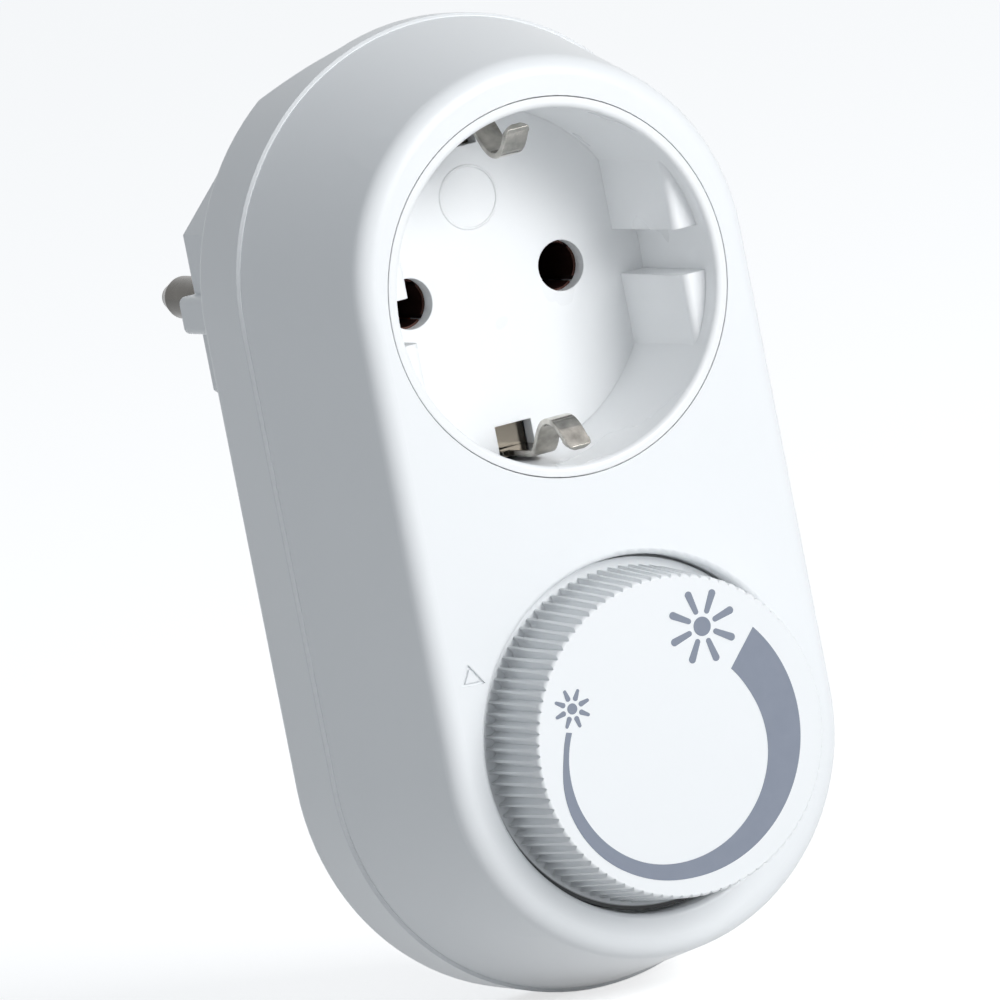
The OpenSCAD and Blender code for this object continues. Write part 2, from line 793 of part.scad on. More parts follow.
module dial() {
  hollow_r = rib_r - max(rib_taper, rib_depth) - dial_wall;
  hub_r = spindle_r + fit/2 + hub_wall;
  color("white") seat() difference() {
    union() {
      intersection() {
        turned(0, dial_z) dial_outline();
        translate([0, -dial_h - 1, dial_z]) rotate([-90, 0, 0])
          linear_extrude(dial_h + flange_drop + 2) polygon(rib_star);
      }
      bar(0, dial_z, flange_drop, flange_drop + flange_t, flange_r);
    }
    difference() {
      bar(0, dial_z, face_in, flange_drop + flange_t + 1, hollow_r);
      bar(0, dial_z, face_in - 1, hub_y, hub_r);
    }
    // Bore with its flat for the spindle
    difference() {
      bar(0, dial_z, face_in, hub_y + 1, spindle_r + fit/2);
      box([-spindle_r - 1, face_in - 1, dial_z + spindle_r - spindle_flat + fit/2],
        [spindle_r + 1, hub_y + 2, dial_z + spindle_r + 1]);
    }
  }
}

module triac() {
  color("dimgray") seat() {
    box([-triac_w, board_back + 3, sink_z], [triac_w, board_back + sink_l - 0.5, sink_z + 4.4]);
    for (x = [-triac_w/2, 0, triac_w/2])
      box([x - 0.5, board_back, sink_z + 1.5], [x + 0.5, board_back + 3.2, sink_z + 2.2]);
  }
}

module heat_sink() {
  color("lightgray") seat() {
    box([-sink_w, board_back, sink_z - sink_t], [sink_w, board_back + sink_l, sink_z]);
    for (s = [0, 1]) mirror([s, 0, 0])
      box([sink_w - sink_t, board_back, sink_z - sink_t], [sink_w, board_back + sink_l, sink_z + wing_h]);
  }
}

module choke_core() {
  color("gray") seat() translate([choke_x, choke_y, choke_z]) rotate([-90, 0, 0]) rotate_extrude()
    translate([choke_in, -choke_h/2]) square([choke_r - choke_in, choke_h]);
}

module choke_winding() {
  wide = choke_r - choke_in;
  high = choke_h + 2*wind_t + 0.4;
  color("peru") seat() translate([choke_x, choke_y, choke_z]) rotate([-90, 0, 0])
    rotate_extrude(angle = 300) difference() {
      translate([choke_in - wind_t*2/3, -high/2]) square([wide + wind_t*5/3, high]);
      translate([choke_in - fit/2, -(choke_h + fit)/2]) square([wide + fit, choke_h + fit]);
    }
}

module film_capacitor() {
  x = 2 - board_w;
  color("royalblue") seat()
    box([x, board_back, cap_z - cap_h], [x + cap_w, board_back + sink_l - 1.5, cap_z]);
}

module lead_part(x, z, r, l) {
  y = board_back + r + 0.4;
  translate([x, y, z]) rotate([0, 90, 0]) cylinder(r = r, h = l, center = true);
  for (s = [-1, 1]) {
    translate([x + s*(l/2 + 0.75), y, z]) rotate([0, 90, 0]) cylinder(r = 0.35, h = 2, center = true);
    bar(x + s*(l/2 + 1.4), z, board_back, y + 0.35, 0.35);
  }
}

module diac() {
  color("firebrick") seat() lead_part(-9, diac_z, 1, 4);
}

module resistors() {
  pitch = 2.56*resistor_r;
  color("tan") seat() for (k = [0, 1]) lead_part(-9, diac_z - 2.7 - pitch*k, resistor_r, 2*pitch);
}

module fuse() {
  color("lightcyan") seat() translate([0, fuse_y, fuse_z]) rotate([0, 90, 0]) {
    cylinder(r = fuse_r - 0.15, h = fuse_l - 1, center = true);
    for (s = [-1, 1]) translate([0, 0, s*(fuse_l/2 - 2.5)]) cylinder(r = fuse_r, h = 5, center = true);
  }
}

module fuse_clips() {
  t = 0.5;
  color("silver") seat() for (s = [-1, 1]) difference() {
    box([s*clip_x - 1.3, board_back, fuse_z - fuse_r - t - fit/2],
      [s*clip_x + 1.3, fuse_y + 2, fuse_z + fuse_r + t + fit/2]);
    translate([s*clip_x, fuse_y, fuse_z]) rotate([0, 90, 0])
      cylinder(r = fuse_r + fit/2, h = 4, center = true);
    box([s*clip_x - 2, fuse_y, fuse_z - fuse_r*0.8], [s*clip_x + 2, fuse_y + 3, fuse_z + fuse_r*0.8]);
  }
}

// Pan head screw whose head seats at a depth, with its shank towards the front
module screw(p, y, r, l, hr, hh) {
  slot = 0.3*hr;
  difference() {
    union() {
      bar(p[0], p[1], y, y + hh, hr);
      bar(p[0], p[1], y - l, y + 0.1, r);
    }
    for (a = [0, 90]) translate([p[0], y + hh*0.45, p[1]]) rotate([0, a + 45, 0])
      translate([-hr*0.65, 0, -slot/2]) cube([hr*1.3, hh, slot]);
  }
}

module cup_screws() {
  color("silver") seat() for (p = ear_at) screw(p, cup_back, small_r, small_l, small_head_r, small_head_h);
}

module board_screws() {
  color("silver") seat() for (p = stud_at) screw(p, board_back, small_r, small_l, small_head_r, small_head_h);
}

module housing_screws() {
  color("silver") seat() for (p = post_at) screw(p, seat_y, screw_r, screw_l, head_r, head_h);
}

front_cover();
rear_cover();
socket_insert();
earth_spring();
upper_earth_strip();
lower_earth_strip();
earth_link();
live_socket_contact();
neutral_socket_contact();
live_pin();
neutral_pin();
live_link();
neutral_link();
load_link();
circuit_board();
control_case();
control_wafer();
bush_nut();
spindle();
wiper();
dial();
triac();
heat_sink();
choke_core();
choke_winding();
film_capacitor();
diac();
resistors();
fuse();
fuse_clips();
cup_screws();
board_screws();
housing_screws();
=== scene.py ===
import json
import math
import bmesh
import bpy
from mathutils import Matrix, Vector


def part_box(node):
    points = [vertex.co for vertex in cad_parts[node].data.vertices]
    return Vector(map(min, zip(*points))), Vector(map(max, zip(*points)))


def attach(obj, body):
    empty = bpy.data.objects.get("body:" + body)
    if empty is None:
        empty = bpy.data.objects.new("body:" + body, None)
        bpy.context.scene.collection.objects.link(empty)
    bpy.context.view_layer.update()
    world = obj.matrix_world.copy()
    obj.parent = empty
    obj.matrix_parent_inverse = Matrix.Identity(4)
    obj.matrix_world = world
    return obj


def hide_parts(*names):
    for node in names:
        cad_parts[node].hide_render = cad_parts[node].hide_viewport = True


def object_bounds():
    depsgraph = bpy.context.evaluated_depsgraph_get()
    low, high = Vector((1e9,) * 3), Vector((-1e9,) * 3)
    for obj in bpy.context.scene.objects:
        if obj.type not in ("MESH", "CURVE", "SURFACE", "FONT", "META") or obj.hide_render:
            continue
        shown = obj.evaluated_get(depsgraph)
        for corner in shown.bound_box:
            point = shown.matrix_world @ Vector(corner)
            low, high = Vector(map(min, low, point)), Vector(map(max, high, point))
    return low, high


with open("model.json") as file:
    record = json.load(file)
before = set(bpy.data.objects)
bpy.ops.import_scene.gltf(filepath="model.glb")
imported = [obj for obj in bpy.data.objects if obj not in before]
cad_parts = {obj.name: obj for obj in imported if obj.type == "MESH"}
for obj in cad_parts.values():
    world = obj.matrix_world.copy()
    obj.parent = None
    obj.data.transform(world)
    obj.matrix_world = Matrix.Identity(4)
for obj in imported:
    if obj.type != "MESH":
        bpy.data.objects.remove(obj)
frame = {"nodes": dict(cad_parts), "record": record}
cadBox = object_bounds()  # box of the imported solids, before anything is added
nodes = frame["nodes"]
dialAxis = Vector(frame["record"]["behaviour"]["joints"][0]["pos_m"])  # a point that the dial turns round
mm = 0.001
print("frame loaded with", len(nodes), "nodes")


class Wire:
    # a socket that can be added and multiplied like a number
    def __init__(self, finish, socket):
        self.finish = finish
        self.socket = socket

    def calc(self, operation, first, second):
        return self.finish.node("ShaderNodeMath", {"operation": operation}, {0: first, 1: second})

    def __add__(self, other):
        return self.calc("ADD", self, other)

    def __radd__(self, other):
        return self.calc("ADD", other, self)

    def __sub__(self, other):
        return self.calc("SUBTRACT", self, other)

    def __rsub__(self, other):
        return self.calc("SUBTRACT", other, self)

    def __mul__(self, other):
        return self.calc("MULTIPLY", self, other)

    def __rmul__(self, other):
        return self.calc("MULTIPLY", other, self)

    def atLeast(self, other):
        return self.calc("MAXIMUM", self, other)


class Finish:
    # one node tree, of a material or of the world
    def __init__(self, tree):
        self.tree = tree
        tree.nodes.clear()

    def node(self, kind, settings=None, sockets=None, out=0):
        made = self.tree.nodes.new(kind)
        for key, value in (settings or {}).items():
            setattr(made, key, value)
        for key, value in (sockets or {}).items():
            if isinstance(value, Wire):
                self.tree.links.new(value.socket, made.inputs[key])
            else:
                made.inputs[key].default_value = value
        return Wire(self, made.outputs[out] if made.outputs else None)

    def mixColour(self, factor, first, second):
        return self.node("ShaderNodeMix", {"data_type": "RGBA"}, {0: factor, 6: first, 7: second}, out=2)

    def ramp(self, value, start, end):
        # rises smoothly from 0 to 1
        return self.node("ShaderNodeMapRange", {"interpolation_type": "SMOOTHSTEP"}, {"Value": value,
            "From Min": start, "From Max": end})

    def fade(self, value, start, end):
        # the same between two places in millimetres
        return self.ramp(value, start * mm, end * mm)

    def noise(self, place, scale, detail):
        return self.node("ShaderNodeTexNoise", {}, {"Vector": place, "Scale": scale, "Detail": detail})

    def sway(self, noise, swing):
        # noise moved from its middle of 0.5 to zero
        return (noise - 0.5) * swing


def newFinish(name):
    material = bpy.data.materials.new(name)
    material.use_nodes = True
    return material, Finish(material.node_tree)


def shade(value):
    # opaque colour
    return (value[0], value[1], value[2], 1)


# Shared by all finishes, by the plastics and by the metals, with bumpDepth in millimetres
skin = {"bumpDepth": 0.02, "edgeSamples": 4}
plastic = {"cloudDetail": 3.0, "grainDetail": 2.0, "ior": 1.46}
metal = {"cloudDetail": 3.0, "lineDetail": 3.0, "cloudSwing": 0.2, "lineSwing": 0.15}


def softBump(f, spec, height):
    # fine relief over edges whose shading is softened
    softened = f.node("ShaderNodeBevel", {"samples": skin["edgeSamples"]}, {"Radius": spec["edge"] * mm})
    return f.node("ShaderNodeBump", {}, {"Strength": spec["bump"], "Distance": skin["bumpDepth"] * mm,
        "Height": height, "Normal": softened})


def mouldedPlastic(spec):
    material, f = newFinish(spec["name"])
    place = f.node("ShaderNodeTexCoord", out="Object")
    cloud = f.noise(place, spec["cloud"], plastic["cloudDetail"])
    grain = f.noise(place, spec["grain"], plastic["grainDetail"])
    colour = f.mixColour(cloud, shade(spec["light"]), shade(spec["deep"]))
    if "paintedShade" in spec:
        # painted shade in a band of depth, which fades out higher up
        depth = f.node("ShaderNodeSeparateXYZ", {}, {0: place}, out="Y")
        height = f.node("ShaderNodeSeparateXYZ", {}, {0: place}, out="Z")
        band = f.fade(depth, *spec["paintedShadeIn"]) * (1.0 - f.fade(depth, *spec["paintedShadeOut"]))
        band = band * (1.0 - f.fade(height, *spec["paintedShadeHigh"]))
        if "paintedShadeRound" in spec:
            # painted shade only outside a radius round the dial's axis
            flat = f.node("ShaderNodeVectorMath", {"operation": "MULTIPLY_ADD"}, {0: place, 1: (1, 0, 1),
                2: (-dialAxis.x, 0, -dialAxis.z)})
            radius = f.node("ShaderNodeVectorMath", {"operation": "LENGTH"}, {0: flat}, out="Value")
            band = band * f.fade(radius, *spec["paintedShadeRound"])
        colour = f.mixColour(band, colour, shade(spec["paintedShade"]))
    rough = spec["rough"] + f.sway(cloud, spec["roughSwing"])
    surface = f.node("ShaderNodeBsdfPrincipled", {}, {"Base Color": colour, "Roughness": rough,
        "Normal": softBump(f, spec, grain), "IOR": plastic["ior"]})
    f.node("ShaderNodeOutputMaterial", {}, {"Surface": surface})
    return material


def platedMetal(spec):
    material, f = newFinish(spec["name"])
    place = f.node("ShaderNodeTexCoord", out="Object")
    stretched = f.node("ShaderNodeMapping", {}, {"Vector": place, "Scale": spec["drawn"]})
    lines = f.noise(stretched, 1.0, metal["lineDetail"])
    cloud = f.noise(place, spec["cloud"], metal["cloudDetail"])
    # tone that varies at random; on the clips its wide span is painted reflection
    colour = f.mixColour(cloud, shade(spec["light"]), shade(spec["deep"]))
    if "recessShadeFrom" in spec:
        # painted shade that grows towards the floor of the cup
        depth = f.node("ShaderNodeSeparateXYZ", {}, {0: place}, out="Y")
        recessShade = f.fade(depth, spec["recessShadeFrom"], spec["recessShadeTo"])
        colour = f.mixColour(recessShade, colour, shade(spec["recessShade"]))
    rough = spec["rough"] + f.sway(cloud, metal["cloudSwing"]) + f.sway(lines, metal["lineSwing"])
    surface = f.node("ShaderNodeBsdfPrincipled", {}, {"Base Color": colour, "Metallic": 1.0,
        "Roughness": rough, "Normal": softBump(f, spec, lines)})
    f.node("ShaderNodeOutputMaterial", {}, {"Surface": surface})
    return material


# Plastics and print, with noise scales per metre, and edges and painted shade in millimetres
plasticFinish = {
    "coverWhite": {"name": "cover_white", "light": (0.895, 0.915, 0.93), "deep": (0.875, 0.895, 0.91),
        "rough": 0.36, "roughSwing": 0.06, "cloud": 60.0, "grain": 5200.0, "bump": 0.12, "edge": 0.14,
        # painted shade on the joint's chamfer, full low down and fading out towards the top
        "paintedShade": (0.74, 0.76, 0.78), "paintedShadeIn": (-35.72, -35.6), "paintedShadeOut": (-35.3, -35.15),
        "paintedShadeHigh": (-4.0, 22.0)},
    "insertWhite": {"name": "insert_white", "light": (0.925, 0.939, 0.949), "deep": (0.91, 0.924, 0.934),
        "rough": 0.28, "roughSwing": 0.05, "cloud": 80.0, "grain": 4200.0, "bump": 0.08, "edge": 0.2},
    "dialWhite": {"name": "dial_white", "light": (0.895, 0.915, 0.93), "deep": (0.88, 0.90, 0.915),
        "rough": 0.34, "roughSwing": 0.05, "cloud": 90.0, "grain": 5200.0, "bump": 0.10, "edge": 0.1,
        # painted shade: near black in the gap round the dial's foot, low down and outside the flange's
        # inner part
        "paintedShade": (0.05, 0.053, 0.055), "paintedShadeIn": (-53.85, -53.62), "paintedShadeOut": (-40.0, -38.0),
        "paintedShadeHigh": (-44.0, -34.0), "paintedShadeRound": (18.65, 18.9)},
    "printGrey": {"name": "print_grey", "light": (0.24, 0.27, 0.335), "deep": (0.215, 0.243, 0.305),
        "rough": 0.45, "roughSwing": 0.1, "cloud": 600.0, "grain": 9000.0, "bump": 0.15, "edge": 0.02},
    "nylon": {"name": "nylon", "light": (0.80, 0.79, 0.73), "deep": (0.74, 0.73, 0.67),
        "rough": 0.5, "roughSwing": 0.1, "cloud": 200.0, "grain": 3000.0, "bump": 0.1, "edge": 0.1},
    "boardGreen": {"name": "board_green", "light": (0.05, 0.17, 0.08), "deep": (0.03, 0.11, 0.05),
        "rough": 0.4, "roughSwing": 0.2, "cloud": 300.0, "grain": 2500.0, "bump": 0.3, "edge": 0.05},
    "waferBrown": {"name": "wafer_brown", "light": (0.28, 0.15, 0.07), "deep": (0.2, 0.1, 0.05),
        "rough": 0.6, "roughSwing": 0.2, "cloud": 300.0, "grain": 2500.0, "bump": 0.3, "edge": 0.05},
    "blackResin": {"name": "black_resin", "light": (0.03, 0.03, 0.03), "deep": (0.015, 0.015, 0.016),
        "rough": 0.5, "roughSwing": 0.2, "cloud": 400.0, "grain": 4000.0, "bump": 0.2, "edge": 0.1},
    "filmBlue": {"name": "film_blue", "light": (0.06, 0.13, 0.4), "deep": (0.04, 0.09, 0.3),
        "rough": 0.25, "roughSwing": 0.1, "cloud": 300.0, "grain": 2500.0, "bump": 0.1, "edge": 0.3},
    "resinTan": {"name": "resin_tan", "light": (0.55, 0.42, 0.28), "deep": (0.45, 0.33, 0.2),
        "rough": 0.5, "roughSwing": 0.2, "cloud": 500.0, "grain": 4000.0, "bump": 0.2, "edge": 0.15},
    "ferrite": {"name": "ferrite", "light": (0.09, 0.09, 0.1), "deep": (0.05, 0.05, 0.055),
        "rough": 0.7, "roughSwing": 0.2, "cloud": 400.0, "grain": 3000.0, "bump": 0.5, "edge": 0.3},
    "fuseGlass": {"name": "fuse_glass", "light": (0.75, 0.82, 0.84), "deep": (0.7, 0.78, 0.8),
        "rough": 0.1, "roughSwing": 0.05, "cloud": 300.0, "grain": 2000.0, "bump": 0.02, "edge": 0.1},
}

# Metals, where drawn is the noise scale along each axis
metalFinish = {
    # the wide light-to-deep mottle on the clips is painted reflection
    "clipNickel": {"name": "clip_nickel", "light": (0.88, 0.845, 0.78), "deep": (0.04, 0.036, 0.03),
        "rough": 0.14, "cloud": 520.0, "drawn": (9000.0, 900.0, 900.0), "bump": 0.15, "edge": 0.12,
        # painted shade on the clip, darker deeper into the cup
        "recessShade": (0.10, 0.09, 0.075), "recessShadeFrom": -45.0, "recessShadeTo": -40.5},
    # painted shade: the pins' nickel is made dark to stand for the dark reflections on it
    "shadedPinNickel": {"name": "shaded_pin_nickel", "light": (0.12, 0.115, 0.105), "deep": (0.07, 0.066, 0.06),
        "rough": 0.25, "cloud": 300.0, "drawn": (900.0, 5000.0, 900.0), "bump": 0.2, "edge": 0.15},
    "brass": {"name": "brass", "light": (0.72, 0.52, 0.25), "deep": (0.55, 0.38, 0.17),
        "rough": 0.35, "cloud": 300.0, "drawn": (5000.0, 900.0, 900.0), "bump": 0.2, "edge": 0.1},
    # painted shade: bronze contacts darkened for the shade deep in the pin holes
    "shadedBronze": {"name": "shaded_bronze", "light": (0.10, 0.05, 0.042), "deep": (0.065, 0.032, 0.028),
        "rough": 0.55, "cloud": 300.0, "drawn": (5000.0, 900.0, 900.0), "bump": 0.2, "edge": 0.1},
    "copperLink": {"name": "copper_link", "light": (0.72, 0.36, 0.2), "deep": (0.5, 0.24, 0.13),
        "rough": 0.35, "cloud": 300.0, "drawn": (900.0, 5000.0, 900.0), "bump": 0.2, "edge": 0.1},
    "steel": {"name": "steel", "light": (0.56, 0.57, 0.58), "deep": (0.42, 0.43, 0.44),
        "rough": 0.3, "cloud": 400.0, "drawn": (4000.0, 900.0, 4000.0), "bump": 0.2, "edge": 0.1},
    "sinkAluminium": {"name": "sink_aluminium", "light": (0.72, 0.73, 0.74), "deep": (0.6, 0.61, 0.62),
        "rough": 0.4, "cloud": 300.0, "drawn": (900.0, 6000.0, 900.0), "bump": 0.2, "edge": 0.1},
}
finishes = {key: mouldedPlastic(spec) for key, spec in plasticFinish.items()}
finishes.update({key: platedMetal(spec) for key, spec in metalFinish.items()})
print("finishes made:", len(finishes))

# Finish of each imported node
nodeFinish = {
    "front_cover": "coverWhite", "rear_cover": "coverWhite", "socket_insert": "insertWhite",
    "earth_spring": "clipNickel", "upper_earth_strip": "clipNickel", "lower_earth_strip": "clipNickel",
    "earth_link": "copperLink", "live_socket_contact": "shadedBronze", "neutral_socket_contact": "shadedBronze",
    "live_pin": "shadedPinNickel", "neutral_pin": "shadedPinNickel", "live_link": "copperLink",
    "neutral_link": "copperLink", "load_link": "copperLink", "circuit_board": "boardGreen",
    "control_case": "steel", "control_wafer": "waferBrown", "bush_nut": "steel", "spindle": "nylon",
    "wiper": "brass", "dial": "dialWhite", "triac": "blackResin",
    "heat_sink": "sinkAluminium", "choke_core": "ferrite", "choke_winding": "copperLink",
    "film_capacitor": "filmBlue", "diac": "resinTan", "resistors": "resinTan", "fuse": "fuseGlass",
    "fuse_clips": "steel", "cup_screws": "steel", "board_screws": "steel", "housing_screws": "steel",
}
for name, key in nodeFinish.items():
    nodes[name].data.materials.clear()
    nodes[name].data.materials.append(finishes[key])
print("node finishes assigned:", len(nodeFinish))


def makePiece(name, bm, finish, body):
    mesh = bpy.data.meshes.new(name)
    bm.to_mesh(mesh)
    bm.free()
    if "custom_normal" in mesh.attributes:
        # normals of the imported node, which no longer fit
        mesh.attributes.remove(mesh.attributes["custom_normal"])
    mesh.materials.clear()
    mesh.materials.append(finishes[finish])
    piece = bpy.data.objects.new(name, mesh)
    bpy.context.scene.collection.objects.link(piece)
    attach(piece, body)
    return piece


def smoothFaces(bm, crease):
    # rounds the shading, apart from edges sharper than the crease
    for face in bm.faces:
        face.smooth = True
    for edge in bm.edges:
        edge.smooth = len(edge.link_faces) == 2 and edge.calc_face_angle(0) < math.radians(crease)


weld = {"merge": 0.001, "flat": 0.2}  # millimetres and degrees


def flattenFaces(bm):
    # joins faces that lie in one plane
    bmesh.ops.dissolve_limit(bm, angle_limit=math.radians(weld["flat"]), verts=bm.verts, edges=bm.edges)


def weldedCopy(name):
    bm = bmesh.new()
    bm.from_mesh(nodes[name].data)
    bmesh.ops.remove_doubles(bm, verts=bm.verts, dist=weld["merge"] * mm)
    flattenFaces(bm)
    return bm


roundRoom = 6  # a rounded edge has this many times its width on both sides


def roundEdges(bm, width, crease):
    # takes the knife edge off corners
    sharp = []
    for edge in bm.edges:
        if len(edge.link_faces) == 2 and edge.calc_face_angle(0) > math.radians(crease):
            room = min(face.calc_area() for face in edge.link_faces) / edge.calc_length()
            if room > roundRoom * width * mm:
                sharp.append(edge)
    bmesh.ops.bevel(bm, geom=sharp, offset=width * mm, offset_type="OFFSET", segments=2, profile=0.5,
        affect="EDGES", clamp_overlap=False, material=-1)


def evenShading(piece):
    weigh = piece.modifiers.new("even_shading", "WEIGHTED_NORMAL")
    weigh.keep_sharp = True


# Metal pieces, with edge widths in millimetres and angles in degrees
roundedNodes = {
    "earth_spring": {"edge": 0.15, "crease": 40, "smooth": 40, "slot": "nickel"},
    "live_pin": {"edge": 0.1, "crease": 30, "smooth": 40, "slot": "nickel"},
    "neutral_pin": {"edge": 0.1, "crease": 30, "smooth": 40, "slot": "nickel"},
}
for name, spec in roundedNodes.items():
    bm = weldedCopy(name)
    roundEdges(bm, spec["edge"], spec["crease"])
    smoothFaces(bm, spec["smooth"])
    piece = makePiece(name + "_rounded", bm, nodeFinish[name], "housing")
    evenShading(piece)
    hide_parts(name)
print("metal edges rounded on", len(roundedNodes), "nodes")

# Socket insert in millimetres, with the low steps over its ears levelled to the cup floor
cupLevel = {"floor": -38.7, "step": 0.1, "reach": 19.6, "near": 0.02, "smooth": 30}


def levelCup(spec):
    bm = weldedCopy("socket_insert")
    stepY = (spec["floor"] - spec["step"]) * mm
    for vert in bm.verts:
        inside = math.hypot(vert.co.x, vert.co.z) < spec["reach"] * mm
        if inside and abs(vert.co.y - stepY) < spec["near"] * mm:
            vert.co.y = spec["floor"] * mm
    bmesh.ops.dissolve_degenerate(bm, edges=bm.edges, dist=weld["merge"] * mm)
    flattenFaces(bm)
    smoothFaces(bm, spec["smooth"])
    piece = makePiece("socket_insert_level", bm, "insertWhite", "housing")
    evenShading(piece)
    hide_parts("socket_insert")


levelCup(cupLevel)
print("cup floor levelled")

# Turning dial, drawn back by the thickness of its print
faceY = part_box("dial")[0][1]
dialDress = {"ink": 0.04, "near": 0.01, "smooth": 30}


def dressDial(spec):
    bm = weldedCopy("dial")
    for vert in bm.verts:
        if vert.co.y < faceY + spec["near"] * mm:
            vert.co.y += spec["ink"] * mm
    smoothFaces(bm, spec["smooth"])
    piece = makePiece("dial_dressed", bm, "dialWhite", "dial")
    evenShading(piece)
    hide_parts("dial")


dressDial(dialDress)
print("dial dressed")

sortFrom = Vector((31.0, 17.0, 5.0))  # a point in millimetres, off every new piece


def settleOrder(bm):
    # extrude and spin leave their parts in any order, so they are sorted to be the same each run
    bm.verts.sort(key=lambda vert: (vert.co - sortFrom).length)
    bm.faces.sort(key=lambda face: (face.calc_center_median() - sortFrom).length)


def inkPiece(name, bm):
    # thickens a flat print and lays it on the dial's face
    thick = dialDress["ink"]
    grown = bmesh.ops.extrude_face_region(bm, geom=list(bm.faces))
    verts = [item for item in grown["geom"] if isinstance(item, bmesh.types.BMVert)]
    bmesh.ops.translate(bm, verts=verts, vec=(0, 0, thick))
    bmesh.ops.recalc_face_normals(bm, faces=bm.faces)
    settleOrder(bm)
    place = Matrix.Translation((dialAxis.x, faceY + thick * mm, dialAxis.z))
    turned = Matrix.Rotation(math.radians(90), 4, "X")
    bmesh.ops.transform(bm, verts=bm.verts, matrix=place @ turned @ Matrix.Scale(mm, 4))
    makePiece(name, bm, "printGrey", "dial")


# Sun signs, with widths and reaches in millimetres and the first ray's turn in degrees
sunRays = {"count": 8, "sides": 20, "discSides": 40}
largeSun = {"place": (5.1, 11.03), "disc": 1.05, "root": 1.45, "tip": 4.2, "rootWidth": 0.62,
    "tipWidth": 0.85, "first": 14.3}
smallSun = {"place": (-12.25, 5.96), "disc": 0.6, "root": 0.9, "tip": 2.24, "rootWidth": 0.6,
    "tipWidth": 0.38, "first": 14.3}


def sunPrint(name, spec):
    bm = bmesh.new()
    bmesh.ops.create_circle(bm, cap_ends=True, segments=sunRays["discSides"], radius=spec["disc"])
    turned = Matrix.Rotation(math.pi / sunRays["sides"], 4, "Z")
    for k in range(sunRays["count"]):
        # a circle drawn out into a ray with two round ends
        ray = bmesh.ops.create_circle(bm, cap_ends=True, segments=sunRays["sides"], radius=1,
            matrix=turned)["verts"]
        for vert in ray:
            half = (spec["tipWidth"] if vert.co.x > 0 else spec["rootWidth"]) / 2
            start = spec["tip"] - half if vert.co.x > 0 else spec["root"] + half
            vert.co = Vector((start + vert.co.x * half, vert.co.y * half, 0))
        aim = math.radians(spec["first"] + 360 * k / sunRays["count"])
        bmesh.ops.rotate(bm, verts=ray, cent=(0, 0, 0), matrix=Matrix.Rotation(aim, 3, "Z"))
    bmesh.ops.translate(bm, verts=bm.verts, vec=(*spec["place"], 0))
    inkPiece(name, bm)


sunPrint("large_sun_print", largeSun)
sunPrint("small_sun_print", smallSun)

# Swelling band round the dial's face, where a station is a turn from its thin end and two radii
bandPrint = {"centre": (-0.6, -0.1), "start": 163.9, "outerEnd": 399.4, "innerEnd": 395.6, "steps": 96,
    "stations": [(0, 13.45, 12.75), (13, 13.96, 13.26), (26, 14.75, 13.65), (39, 15.27, 13.92),
        (58, 15.58, 14.05), (80, 15.5, 13.88), (104, 15.25, 13.3), (140, 15.23, 12.35), (176, 15.25, 11.4),
        (212, 15.22, 10.35), (233.4, 15.2, 10.05)]}


def readStations(stations, turn, column):
    # smooth curve through the stations
    last = len(stations) - 1
    k = 0
    while k < last - 1 and turn > stations[k + 1][0]:
        k += 1
    a, b = stations[k], stations[k + 1]
    before, after = stations[max(k - 1, 0)], stations[min(k + 2, last)]
    span = b[0] - a[0]
    t = (turn - a[0]) / span
    slopeA = (b[column] - before[column]) / (b[0] - before[0]) * span
    slopeB = (after[column] - a[column]) / (after[0] - a[0]) * span
    return ((2 * t ** 3 - 3 * t ** 2 + 1) * a[column] + (t ** 3 - 2 * t ** 2 + t) * slopeA
        + (3 * t ** 2 - 2 * t ** 3) * b[column] + (t ** 3 - t ** 2) * slopeB)


def sweptBand(name, spec):
    bm = bmesh.new()
    # one edge from radius 1 to 2, spun round and then drawn to the stations
    inner, outer = bm.verts.new((1, 0, 0)), bm.verts.new((2, 0, 0))
    edge = bm.edges.new((inner, outer))
    whole = spec["stations"][-1][0]
    bmesh.ops.spin(bm, geom=[inner, outer, edge], cent=(0, 0, 0), axis=(0, 0, 1), angle=math.radians(whole),
        steps=spec["steps"])
    for vert in bm.verts:
        turn = math.degrees(math.atan2(vert.co.y, vert.co.x)) % 360
        onOuter = vert.co.length > 1.5
        reach = readStations(spec["stations"], min(turn, whole), 1 if onOuter else 2)
        end = spec["outerEnd"] if onOuter else spec["innerEnd"]
        aim = math.radians(spec["start"] + turn / whole * (end - spec["start"]))
        vert.co = Vector((*spec["centre"], 0)) + reach * Vector((math.cos(aim), math.sin(aim), 0))
    inkPiece(name, bm)


sweptBand("band_print", bandPrint)
print("dial print laid")

# Plain raised ring on the floor of the cup
floorRing = {"x": 0.0, "z": 9.8, "radius": 3.45, "width": 0.36, "height": 0.09, "sunk": 0.02,
    "shoulder": 0.6, "shoulderRise": 0.75, "merge": 0.0001, "steps": 72, "smooth": 50}


